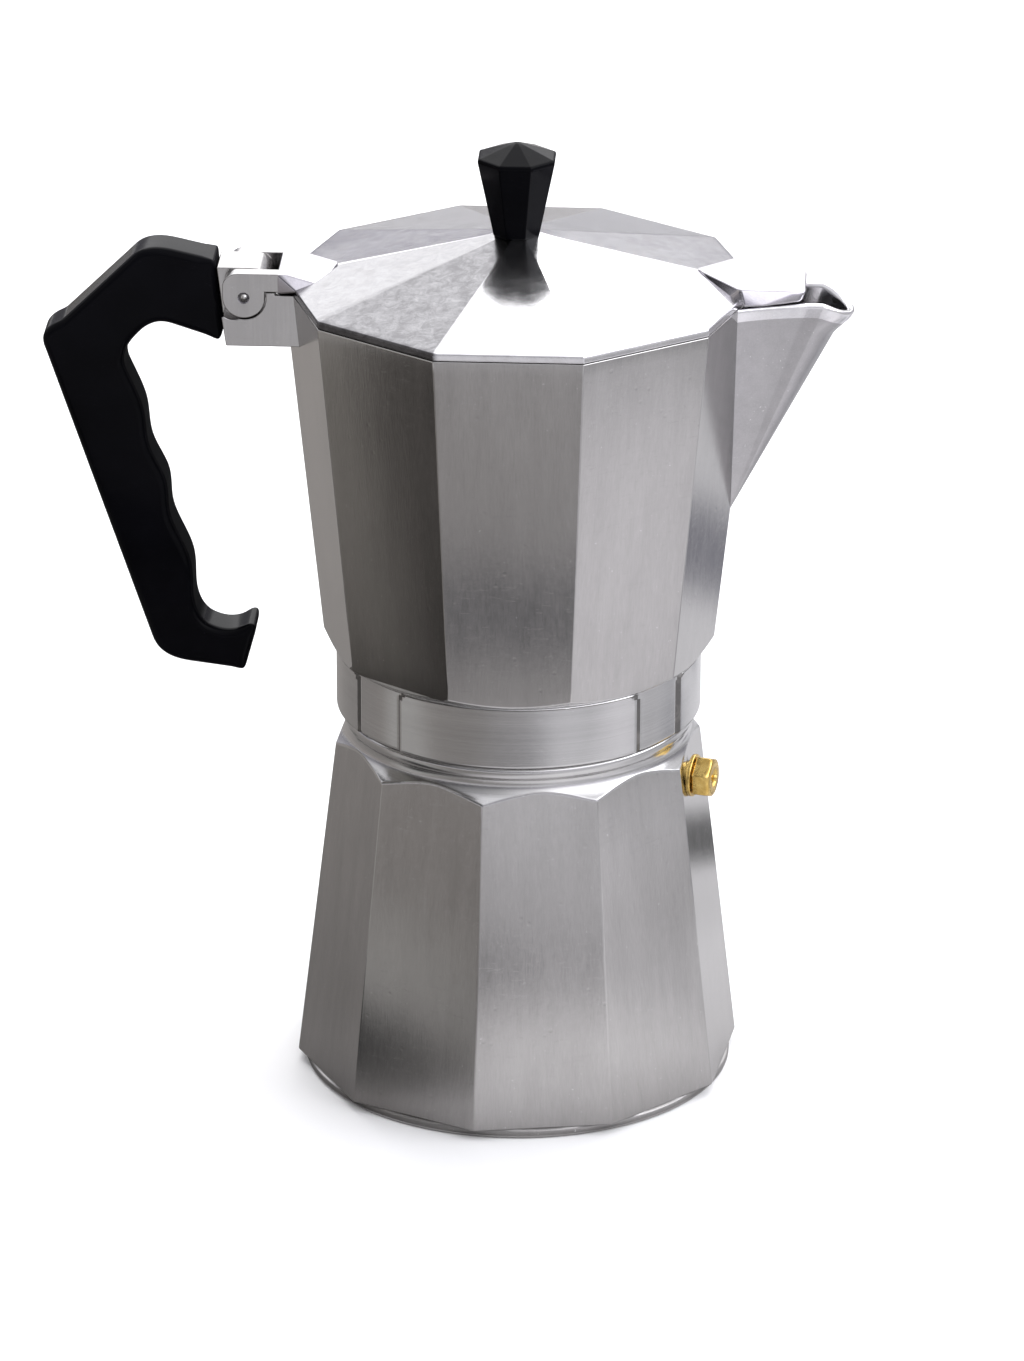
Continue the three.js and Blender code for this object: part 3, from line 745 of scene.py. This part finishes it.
def lid_parts():
    """The tongue that reaches back from the lid, and the two ears of its hinge."""
    both = lambda pts: pts + [(x, -y, z) for x, y, z in pts]
    tongue = hull(both([(-70, 12.2, 241.9), (-70, 12.2, 248), (-67.9, 12.2, 248), (-66.9, 12.2, 244.4),
                        (-64, 14.6, 243.4), (-53, 0.8, 247.9), (-57, 11.5, 244.6), (-60, 12, 242.6)]), 0.45)
    outline = [*arc(PIN_X, PIN_Z, EAR_R, 178, 350, 26), (PIN_X + EAR_R, 242.35), (PIN_X + 10.4, 242.35),
               (PIN_X + 10.4, 248), (PIN_X - 1.8, 248), *arc(PIN_X - 1.8, 243.6, EAR_CORNER, 96, 178, 10)]
    ear = slab(outline, -12.2, -7.65, 0.35)
    return [tongue, (*ear, 1), (*mirrored(ear), 1)]


def cover():
    """The roof over the spout."""
    half = [(51.4, 0.4, 248.3), (64.3, 15.4, 247.3), (82.6, 9.4, 245), (83.6, 8.2, 244.9), (60, 13, 242.6),
            (65.6, 16.3, 242.1), (71.3, 15, 241.9), (81.2, 10.2, 241.7), (82.4, 9, 241.7)]
    return [hull(half + [(x, -y, z) for x, y, z in half], 0.9, 4)]


def circle(r, n=40):
    return [(r * math.cos(a), r * math.sin(a)) for a in np.arange(n) * 2 * PI / n]


def rod_y(x, z, r, y0, y1):
    rows = [[(x + i, y, z + j) for i, j in circle(r)] for y in (y0, y1)]
    return outward(grid(rows, cap_first=True, cap_last=True))


def rod_z(x, y, r, z0, z1):
    rows = [[(x + i, y + j, z) for i, j in circle(r)] for z in (z0, z1)]
    return outward(grid(rows, cap_first=True, cap_last=True))


# ---------------------------------------------------------------- handle and knob
def bend(a, control, b, n=10):
    """A curve from a to b, pulled towards the control point."""
    return [tuple((1 - t) ** 2 * np.array(a) + 2 * t * (1 - t) * np.array(control) + t * t * np.array(b))
            for t in np.linspace(0, 1, n)]


def through(points, n=8):
    """A smooth curve through the points."""
    p = [np.array(q, float) for q in points]
    p = [2 * p[0] - p[1], *p, 2 * p[-1] - p[-2]]
    out = []
    for i in range(1, len(p) - 2):
        for t in np.linspace(0, 1, n, endpoint=False):
            out.append(tuple(0.5 * (2 * p[i] + (p[i + 1] - p[i - 1]) * t
                                    + (2 * p[i - 1] - 5 * p[i] + 4 * p[i + 1] - p[i + 2]) * t * t
                                    + (3 * p[i] - p[i - 1] - 3 * p[i + 1] + p[i + 2]) * t ** 3)))
    return out + [tuple(p[-2])]


HANDLE_POINTS = 620


def handle_outline():
    """The handle's side view as evenly spaced x, z points, smoothed a little."""
    pts = [(-88.6, 250.1), *bend((-101, 252.9), (-109.6, 254.8), (-113.5, 250)),
           *bend((-133.6, 230.5), (-141.6, 227.4), (-138.7, 221.4)),
           *bend((-108.6, 131.2), (-106.6, 125), (-97.9, 123.8)),
           *bend((-82.4, 121.8), (-81.2, 121.6), (-80.9, 122.8), 5),
           *bend((-77.9, 133.6), (-77, 137.8), (-80.4, 136.2)),
           *bend((-80.4, 136.2), (-85.6, 132.6), (-91.9, 136)),
           *bend((-91.9, 136), (-95.6, 138.6), (-96.2, 145)),
           *through([(-96.2, 145), (-97, 156.3), (-102.5, 169.7), (-103.8, 181), (-108.6, 192), (-110.3, 204),
                     (-115.4, 216.5)]),
           *bend((-115.4, 216.5), (-116.6, 221.6), (-111.8, 226.4)),
           *bend((-111.8, 226.4), (-107.4, 231.6), (-102.2, 230.2)),
           (-88.4, 225.7), *bend((-88.2, 225.6), (-87.4, 225.3), (-87.1, 226.2), 5), (-86.3, 228.8)]
    p = np.array(pts)
    keep = np.linalg.norm(p - np.roll(p, 1, 0), axis=1) > 0.02
    p = p[keep]
    step = np.linalg.norm(np.roll(p, -1, 0) - p, axis=1)
    at = np.concatenate([[0], np.cumsum(step)])
    want = np.linspace(0, at[-1], HANDLE_POINTS, endpoint=False)
    closed = np.vstack([p, p[:1]])
    p = np.column_stack([np.interp(want, at, closed[:, 0]), np.interp(want, at, closed[:, 1])])
    for _ in range(3):
        p = (np.roll(p, 1, 0) + 2 * p + np.roll(p, -1, 0)) / 4
    return p


def handle_body(half=7.4, edge=2.3):
    """The outline given its width, 2 * half, with rounded edges that shrink where the outline bends tightly."""
    p = handle_outline()
    along = np.roll(p, -2, 0) - np.roll(p, 2, 0)
    along /= np.linalg.norm(along, axis=1)[:, None]
    area = 0.5 * np.sum(p[:, 0] * np.roll(p[:, 1], -1) - np.roll(p[:, 0], -1) * p[:, 1])
    inward = np.column_stack([-along[:, 1], along[:, 0]]) * (1 if area > 0 else -1)
    away = p[None] - p[:, None]
    ahead = np.sum(away * inward[:, None], axis=2)
    reach = np.where(ahead > 1e-6, np.sum(away * away, axis=2) / (2 * np.maximum(ahead, 1e-6)), 99)
    soft = np.clip(0.85 * reach.min(axis=1), 0.25, edge)
    for _ in range(8):
        soft = np.minimum(soft, np.minimum(np.roll(soft, 1), np.roll(soft, -1)) + 0.2)
    rows = []
    for y_sign in (-1, 1):
        part = []
        for a in np.linspace(0, PI / 2, 7):
            q = p + inward * (soft * (1 - math.sin(a)))[:, None]
            y = y_sign * (half - soft * (1 - math.cos(a)))
            part.append(np.column_stack([q[:, 0], y, q[:, 1]]))
        rows += part if y_sign < 0 else part[::-1]
    return outward(grid(rows, cap_first=True, cap_last=True))


def knob():
    """The eight-sided knob, from its foot to its low peak."""
    f = Facets(8, 22.5, across=10, arc_steps=6)
    c = math.cos(PI / 8)
    rows = [f.row(r * c, z, s) for r, z, s in (
        (2.3, 257.8, 0.3), (6.6, 257.8, 0.5), (7.1, 257.95, 0.6), (7.3, 258.4, 0.6))]
    for t in np.linspace(0.05, 1, 12):
        rows.append(f.row((7.25 + 4.7 * t) * c, 258.4 + 21.5 * t, 0.55))
    rows += [f.row(r * c, z, s) for r, z, s in (
        (12.05, 280.3, 0.5), (12.1, 280.8, 0.5), (12.05, 281.3, 0.5), (11.8, 281.6, 0.5), (11.2, 281.8, 0.5),
        (9, 282.6, 0.4), (6, 283.7, 0.35), (3.2, 284.7, 0.3), (1.4, 285.35, 0.2), (0.3, 285.6, 0.1))]
    v, faces = outward(grid(rows, cap_last=True, cap_first=True))
    return placed((v, faces), shift=(-1, 0, 0))


# ---------------------------------------------------------------- valve and inner pieces
def valve_body():
    """The valve's hexagon, chamfered and bored, and its shank."""
    f = Facets(6, 8, across=6, arc_steps=4)
    c = math.cos(PI / 6)
    flats = f.xy(np.full(f.count, 6.38 * c), 0.35)
    wide = np.linalg.norm(flats, axis=1)
    rows = [f.row(r * c, z, 0.35) for r, z in (
        (3.0, 55.9), (5.6, 55.9), (6.2, 56.15), (6.38, 56.5), (6.38, 58), (6.38, 59.6))]
    rows += [f.round_row(np.minimum(wide, cap), z, flats) for cap, z in (
        (6.25, 60.3), (5.9, 60.75), (5.4, 61.15), (4.6, 61.4), (2.9, 61.4), (2.7, 61.2), (2.6, 60.7), (1.5, 60.6),
        (1.3, 60.4), (1.25, 58.9))]
    hexagon = outward(grid(rows, loop=True))
    shank = turned([[1.6, 46.6], [3.9, 46.6], [3.9, 56.2], [2.9, 56.2], [2.9, 47.6], [1.6, 47.6]], 48, 0.2)
    return [along_valve(hexagon), along_valve(shank)]


build("boiler_casting", boiler(), [CAST, TURNED, INSIDE, SHADED_FOOT_CAST], "boiler_base", ["boiler"],
      cuts=[along_valve(rod_z(0, 0, 4.2, 40, 53))])
build("valve_hexagon", valve_body(), [BRASS], "boiler_base", ["valve_body"])
build("valve_collar", [along_valve(turned([[4.1, 54.3], [6.35, 54.3], [6.35, 55.6], [4.1, 55.6]], 72, 0.35))],
      [BRASS], "boiler_base", ["valve_washer"])
build("valve_pin_turned", [along_valve(turned([[0.001, 47.9], [2.5, 47.9], [2.5, 49.2], [0.9, 49.4], [0.95, 61.4],
                                               [0.75, 62.2], [0.001, 62.3]], 32, 0.15))],
      [BRASS], "valve_pin", ["valve_stem"])
build("pot_casting", [pot_shell(), helix(50.3, 114.5, 3, 1.5, 1.1) + (1,)], [CAST, TURNED, INSIDE, PAD_EDGE_SHADE], "pot",
      ["upper_pot"], cuts=[channel()])
build("pot_spout", [spout()], [SPOUTCAST, TOPLIT_CAST], "pot", ["upper_pot"])
build("pot_lug", lug(), [CAST], "pot", ["upper_pot"],
      cuts=[rod_y(PIN_X, PIN_Z, 1.7, -13, 13)])
build("lid_casting", [lid_crown()], [TOPLIT_CAST, INSIDE], "lid_group", ["lid"])
build("lid_spout_cover", cover(), [COVERCAST], "lid_group")
build("lid_tongue_and_ears", lid_parts(), [COVERCAST, CAST], "lid_group", ["lid"],
      cuts=[rod_y(PIN_X, PIN_Z, 1.75, -13, 13)])
build("handle_moulding", [handle_body()], [BLACK], "pot", ["handle"],
      cuts=[rod_z(-94, 0, 3.9, 220, 230.6)])
build("knob_moulding", [knob()], [BLACK], "lid_group", ["knob"])
build("hinge_pin_turned", [rod_y(PIN_X, PIN_Z, 1.5, -12.0, 12.0)], [STEEL], "pot", ["hinge_pin"])
build("funnel_bowl", [turned([[40.5, 84], [40.5, 121.2], [46, 121.3], [46, 122.3], [39.5, 122.3], [39.5, 84.4],
                              [30, 77.1], [9, 71], [9, 62], [10, 62], [10, 70.2], [30.6, 76.2]], 120, 0.6)],
      [PRESSED], "funnel", ["funnel_cup"])
build("funnel_pipe", [turned([[7.6, 9], [8.7, 9], [8.7, 68], [7.6, 68]], 72, 0.3)], [PRESSED], "funnel",
      ["funnel_tube"])
build("gasket_ring", [turned([[37, 122.6], [46.2, 122.6], [46.2, 125.9], [37, 125.9]], 120, 0.8)], [RUBBER],
      "seal", ["gasket"])
build("coffee_column", [turned([[5.8, 127.7], [7.7, 127.7], [7.7, 131.3], [13, 131.3], [13, 132.4], [9.6, 134],
                                [7, 204], [3.5, 207], [0.001, 207], [0.001, 205.4], [3, 205.4], [5.4, 203],
                                [8, 140], [5.8, 132]], 72, 1.0)],
      [INSIDE], "pot", ["column"],
      cuts=[hull([(x, y, z) for x in (-20, 20) for y in (-3, 3) for z in (193, 201)], 0)])

for name, finish in (("funnel_screen", PRESSED), ("filter_plate", PRESSED), ("valve_spring", STEEL),
                     ("handle_screw", STEEL), ("knob_washer", STEEL), ("knob_screw", STEEL)):
    o = frame["nodes"][name]
    o.data.materials.clear()
    o.data.materials.append(finish)


# ---------------------------------------------------------------- floor, light and camera
def sheet(name, m, outline, z):
    """A level sheet of the stage."""
    mesh = bpy.data.meshes.new(name)
    mesh.from_pydata([(x, y, z) for x, y in outline], [], [tuple(range(len(outline)))])
    mesh.materials.append(m)
    o = bpy.data.objects.new(name, mesh)
    bpy.context.scene.collection.objects.link(o)
    return o


def square(half):
    return [(-half, -half), (half, -half), (half, half), (-half, half)]


def floor():
    m, nt, s = material("pale floor")
    at = object_place(nt)
    n = noise(nt, at, (1, 1, 1), 60, 3)
    link(nt, ramp(nt, n, [(0.3, (0.86, 0.86, 0.86)), (0.7, (0.9, 0.9, 0.9))]), s.inputs["Base Color"])
    s.inputs["Roughness"].default_value = 0.7
    sheet("floor", m, square(6), 0)


def spot(nt, x, y, cloud, cx, cy, rx, ry):
    """1 inside an uneven oval, fading to 0 beyond it."""
    u = math_node(nt, "DIVIDE", math_node(nt, "SUBTRACT", x, cx), rx)
    v = math_node(nt, "DIVIDE", math_node(nt, "SUBTRACT", y, cy), ry)
    d = math_node(nt, "ADD", math_node(nt, "MULTIPLY", u, u), math_node(nt, "MULTIPLY", v, v))
    return ramp(nt, math_node(nt, "ADD", d, math_node(nt, "MULTIPLY", cloud, 0.5)), [(0.35, 1.0), (1.0, 0.0)])


def flag():
    """A card on the floor, painted in uneven ovals, that gives the polished sides something to reflect."""
    m, nt, s = material("flag felt")
    at = object_place(nt)
    x, y, _ = split(nt, at)
    cloud = noise(nt, at, (1, 1, 1), 200, 2, 0.5, 0.5)
    tone = ramp(nt, math_node(nt, "ADD", math_node(nt, "MULTIPLY", x, 0.7), 0.5),
                [(0.0, (0.25, 0.23, 0.21)), (0.41, (0.17, 0.16, 0.15)), (0.5, (0.31, 0.30, 0.295)),
                 (0.57, (0.46, 0.455, 0.46)), (0.8, (0.46, 0.46, 0.47)), (0.95, (0.28, 0.28, 0.28))])
    far = ramp(nt, math_node(nt, "MULTIPLY", y, -1.0), [(0.42, 0.0), (0.6, 0.7)])
    tone = mix_colour(nt, far, tone, (0.62, 0.62, 0.63))
    tone = mix_colour(nt, ramp(nt, cloud, [(0.4, 0.0), (0.7, 0.4)]), tone, (0.15, 0.145, 0.14))
    # each oval's middle, its half widths and its colour
    for cx, cy, rx, ry, colour in ((0.08, -0.14, 0.2, 0.14, (0.72, 0.71, 0.71)),
                                   (0.32, -0.14, 0.2, 0.12, (0.58, 0.57, 0.58)),
                                   (0.01, -0.31, 0.16, 0.04, (0.09, 0.09, 0.095)),
                                   (-0.3, -0.12, 0.3, 0.12, (0.30, 0.295, 0.28)),
                                   (0.262, 0.295, 0.09, 0.05, (0.1, 0.1, 0.12)),
                                   (0.175, 0.112, 0.05, 0.03, (0.05, 0.05, 0.05)),
                                   (0.2, 0.5, 0.12, 0.13, (0.28, 0.28, 0.29)),
                                   (0.135, 0.17, 0.06, 0.035, (0.05, 0.05, 0.05)),
                                   (-0.16, 0.14, 0.05, 0.03, (0.06, 0.06, 0.055)),
                                   (0.29, 0.1, 0.1, 0.09, (0.25, 0.25, 0.26)),
                                   (-0.55, -0.2, 0.25, 0.14, (0.32, 0.315, 0.30)),
                                   (0.56, -0.25, 0.15, 0.1, (0.2, 0.2, 0.2)),
                                   (-0.15, -0.085, 0.12, 0.06, (0.01, 0.01, 0.01))):
        tone = mix_colour(nt, spot(nt, x, y, cloud, cx, cy, rx, ry), tone, colour)
    link(nt, tone, s.inputs["Base Color"])
    s.inputs["Roughness"].default_value = 0.9
    card("flag", m, square(3), 0.001)


def card(name, m, outline, z):
    """A level sheet that only reflections see."""
    o = sheet(name, m, outline, z)
    o.visible_camera = o.visible_diffuse = o.visible_shadow = False


def dark_card():
    """A dark card at the pot's front left, lighter towards its front, too high for the boiler to reflect."""
    m, nt, s = material("card felt")
    at = object_place(nt)
    cloud = noise(nt, at, (1, 1, 1), 60, 2, 0.5, 0.5)
    x, y, _ = split(nt, at)
    tone = ramp(nt, cloud, [(0.3, (0.027, 0.023, 0.02)), (0.7, (0.045, 0.04, 0.035))])
    across = math_node(nt, "SUBTRACT", y, math_node(nt, "MULTIPLY", x, 0.155))
    across = math_node(nt, "ADD", math_node(nt, "MULTIPLY", across, 5.0), 0.5)
    tone = mix_colour(nt, ramp(nt, across, [(0.215, 0.0), (0.315, 1.0)]), tone, (0.165, 0.155, 0.138))
    link(nt, tone, s.inputs["Base Color"])
    s.inputs["Roughness"].default_value = 0.9
    card("dark_card", m, [(-0.26, -0.17), (-0.1, -0.115), (-0.019, -0.064), (-0.019, -0.03), (-0.26, -0.03)], 0.1355)


def lamp(name, at, to, size, watts, colour=(1, 1, 1)):
    """A rectangular soft lamp at one point, aimed at another."""
    light = bpy.data.lights.new(name, "AREA")
    light.shape, light.size, light.size_y = "RECTANGLE", size[0], size[1]
    light.energy, light.color = watts, colour
    o = bpy.data.objects.new(name, light)
    o.location = at
    o.rotation_mode = "QUATERNION"
    o.rotation_quaternion = (Vector(to) - Vector(at)).to_track_quat("-Z", "Y")
    bpy.context.scene.collection.objects.link(o)


def world():
    """White to the camera; to reflections, a sky that is bright above and darker at the front left."""
    w = bpy.data.worlds.new("studio")
    bpy.context.scene.world = w
    w.use_nodes = True
    nt = w.node_tree
    nt.nodes.clear()
    out = nt.nodes.new("ShaderNodeOutputWorld")
    bg = nt.nodes.new("ShaderNodeBackground")
    backdrop = nt.nodes.new("ShaderNodeBackground")
    backdrop.inputs[0].default_value = (1.0, 1.0, 1.0, 1.0)
    seen = nt.nodes.new("ShaderNodeMixShader")
    link(nt, nt.nodes.new("ShaderNodeLightPath").outputs["Is Camera Ray"], seen.inputs[0])
    link(nt, bg.outputs[0], seen.inputs[1])
    link(nt, backdrop.outputs[0], seen.inputs[2])
    link(nt, seen.outputs[0], out.inputs[0])
    x, y, z = split(nt, nt.nodes.new("ShaderNodeTexCoord").outputs["Generated"])
    up = math_node(nt, "ADD", math_node(nt, "MULTIPLY", z, 0.5), 0.5)
    link(nt, ramp(nt, up, [(0.46, (0.35, 0.35, 0.36)), (0.56, (0.42, 0.41, 0.46)), (0.66, (1.0, 1.0, 1.03)),
                           (0.9, (1.25, 1.25, 1.3))]), bg.inputs[0])
    side = ramp(nt, math_node(nt, "ADD", math_node(nt, "MULTIPLY", x, 0.5), 0.5),
                [(0.12, 0.08), (0.42, 0.22), (0.6, 0.45), (0.8, 1.0)])
    side = math_node(nt, "SUBTRACT", math_node(nt, "MULTIPLY", side, 2.6), 1.0)
    front = math_node(nt, "ADD", math_node(nt, "MULTIPLY", y, -0.5), 0.5)
    front = ramp(nt, front, [(0.4, 0.0), (0.6, 1.0)])
    low = ramp(nt, up, [(0.84, 1.0), (0.96, 0.0)])
    side = math_node(nt, "MULTIPLY", math_node(nt, "MULTIPLY", side, front), low)
    link(nt, math_node(nt, "MULTIPLY", math_node(nt, "ADD", side, 1.0), 0.95), bg.inputs[1])


def camera():
    """A long lens above the object's front, aimed at the middle of its height."""
    c = bpy.data.cameras.new("camera")
    o = bpy.data.objects.new("camera", c)
    bpy.context.scene.collection.objects.link(o)
    bpy.context.scene.camera = o
    c.sensor_width, c.lens = 36, 195.41
    c.clip_start, c.clip_end = 0.1, 50
    high, aside, roll, far = math.radians(22.297), math.radians(2.871), 0.00297, 2.2
    back = Vector((math.sin(aside) * math.cos(high), -math.cos(aside) * math.cos(high), math.sin(high)))
    o.location = Vector((-0.001991, 0, 0.120345)) + far * back
    right = (-back).cross(Vector((0, 0, 1))).normalized()
    up = right.cross(-back)
    r = right * math.cos(roll) + up * math.sin(roll)
    u = up * math.cos(roll) - right * math.sin(roll)
    o.rotation_mode = "QUATERNION"
    o.rotation_quaternion = Matrix((r, u, back)).transposed().to_quaternion()


floor()
flag()
dark_card()
world()
lamp("overhead", (0.1, 0.9, 1.7), (0, 0, 0.2), (2.2, 1.4), 22)
lamp("back panel", (0, 2.3, 1.5), (0, 0, 0.25), (3.4, 1.4), 22)
lamp("left", (-1.6, -0.7, 0.9), (0, 0, 0.12), (0.9, 1.3), 2, (1.0, 0.95, 0.88))
lamp("right", (1.7, 0.0, 1.1), (0, 0, 0.12), (1.5, 1.2), 14, (0.93, 0.96, 1.0))
camera()
bpy.context.scene.view_settings.view_transform = "Standard"
